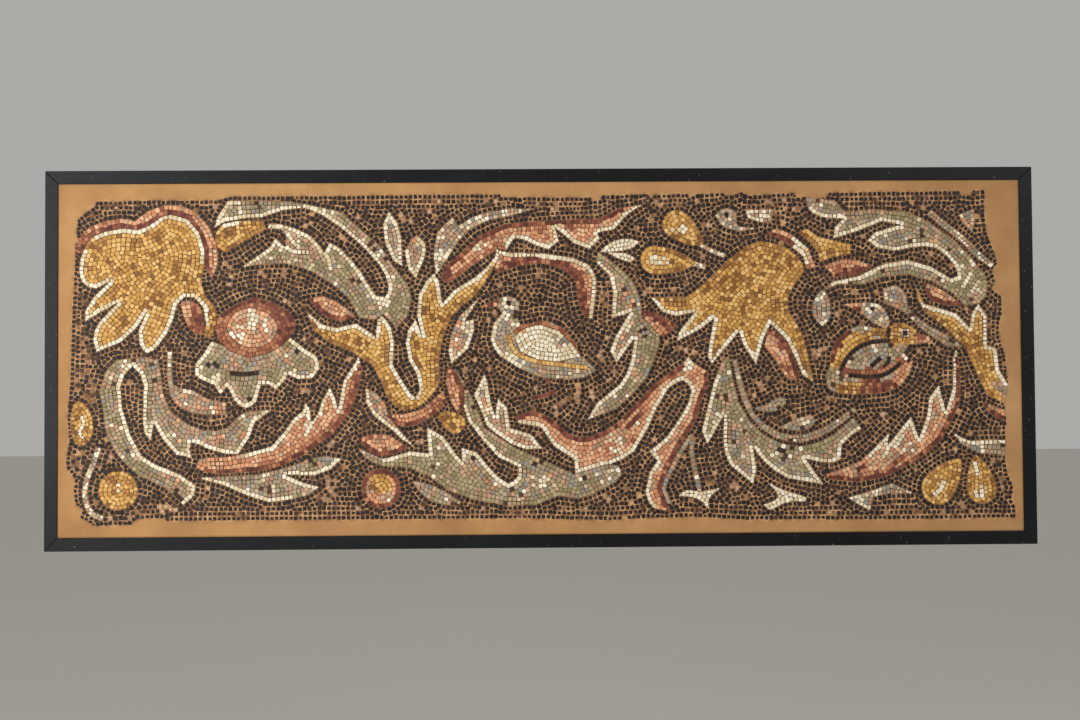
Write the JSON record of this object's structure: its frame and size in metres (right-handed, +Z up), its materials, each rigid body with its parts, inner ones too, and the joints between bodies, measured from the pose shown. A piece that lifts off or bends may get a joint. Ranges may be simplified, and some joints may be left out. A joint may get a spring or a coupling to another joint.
{
  "type": "mosaic panel",
  "caption": "Oblong mosaic of scrolling leaves, blossoms, fruit and birds on a dark ground, set in a mortar slab inside a black steel angle frame.",
  "frame": {"origin": "middle of the flat back, where the panel meets the wall", "axes": "+X to the right across the picture, +Z up, the picture faces -Y"},
  "size_m": [1.88, 0.06, 0.72],
  "materials": {
    "black_paint": "satin",
    "lime_mortar": "matt, smoothed with a float",
    "charcoal_stone": "matt, worn",
    "ochre_stone": "matt, worn",
    "coral_stone": "matt, worn",
    "maroon_stone": "matt, worn",
    "russet_stone": "matt, worn",
    "olive_stone": "matt, worn",
    "grey_stone": "matt, worn",
    "cream_stone": "matt, worn"
  },
  "bodies": {
    "root": {"frame_bar_top": "black_paint", "frame_bar_bottom": "black_paint", "frame_bar_right": "black_paint", "frame_bar_left": "black_paint", "mortar_slab": "lime_mortar", "ground_tesserae": "charcoal_stone", "left_blossom_petal": "maroon_stone", "left_blossom": "ochre_stone", "left_blossom_crown": "coral_stone", "curled_leaf_lining": "ochre_stone", "acanthus_leaf": "olive_stone", "pomegranate_heart": "coral_stone", "pomegranate": "russet_stone", "pomegranate_calyx": "olive_stone", "arc_leaf": "olive_stone", "small_leaf": "grey_stone", "flame_leaf": "coral_stone", "double_leaf": "grey_stone", "round_fruit": "ochre_stone", "long_fruit": "ochre_stone", "rose_leaf_left": "coral_stone", "great_calyx": "ochre_stone", "calyx_collar": "coral_stone", "pointed_leaf_low": "cream_stone", "rose_leaf_low": "coral_stone", "round_flower": "coral_stone", "stem_leaf_rose": "coral_stone", "white_bud": "cream_stone", "scroll_leaf": "olive_stone", "white_leaf_mid": "grey_stone", "bird_wing": "cream_stone", "bird": "grey_stone", "ribbon_leaf": "coral_stone", "ribbon_arch": "coral_stone", "spear_leaf_a": "grey_stone", "spear_leaf_b": "grey_stone", "spear_leaf_c": "grey_stone", "plume_leaf": "olive_stone", "rose_leaf_mid": "maroon_stone", "flame_scroll": "coral_stone", "pear_upper": "ochre_stone", "pear_lower": "ochre_stone", "blossom_petal_right": "coral_stone", "right_blossom": "ochre_stone", "blossom_eyebrow": "coral_stone", "ochre_trefoil": "ochre_stone", "rose_leaf_right": "maroon_stone", "upper_leaf": "olive_stone", "duck": "ochre_stone", "branch_leaf": "grey_stone", "upper_stem": "grey_stone", "rose_leaf_edge": "coral_stone", "edge_leaf": "ochre_stone", "tall_leaf": "olive_stone", "tendril": "grey_stone", "pink_leaf": "coral_stone", "low_leaf": "grey_stone", "pear_edge_left": "ochre_stone", "pear_edge_right": "ochre_stone", "edge_stem_leaf": "cream_stone"}
  },
  "joints": []
}
